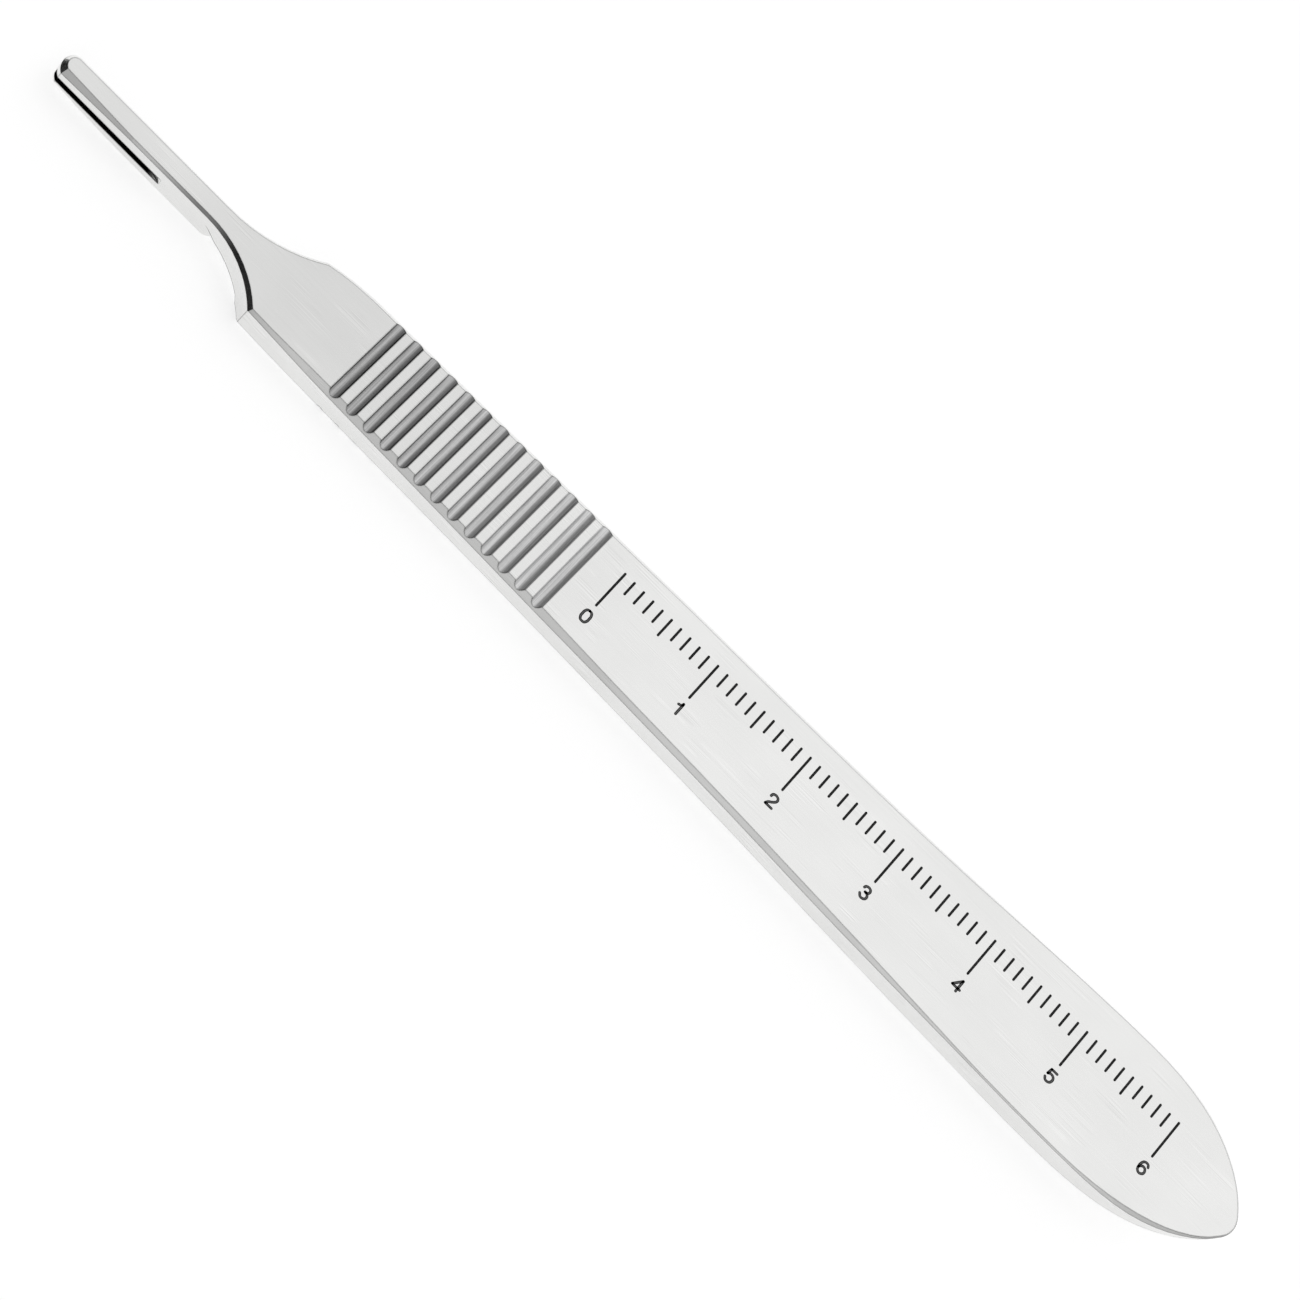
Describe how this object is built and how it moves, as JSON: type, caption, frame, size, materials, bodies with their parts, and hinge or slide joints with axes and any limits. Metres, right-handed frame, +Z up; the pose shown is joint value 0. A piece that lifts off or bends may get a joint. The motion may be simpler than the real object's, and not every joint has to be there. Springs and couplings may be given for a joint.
{
  "type": "scalpel handle",
  "caption": "Slim flat scalpel handle with a slotted blade fitting, a flared neck, a cross-grooved grip, an etched ruler and a rounded, pointed butt.",
  "frame": {"origin": "on the reverse face, under the middle of the length and on the centre line", "axes": "+X from the blade end to the butt, +Z up through the ruler face, so the handle lies on its reverse face"},
  "size_m": [0.1263, 0.013, 0.0027],
  "materials": {
    "steel": "satin polished stainless steel with fine lengthwise brushing"
  },
  "bodies": {
    "root": {"handle": "steel"}
  },
  "joints": []
}
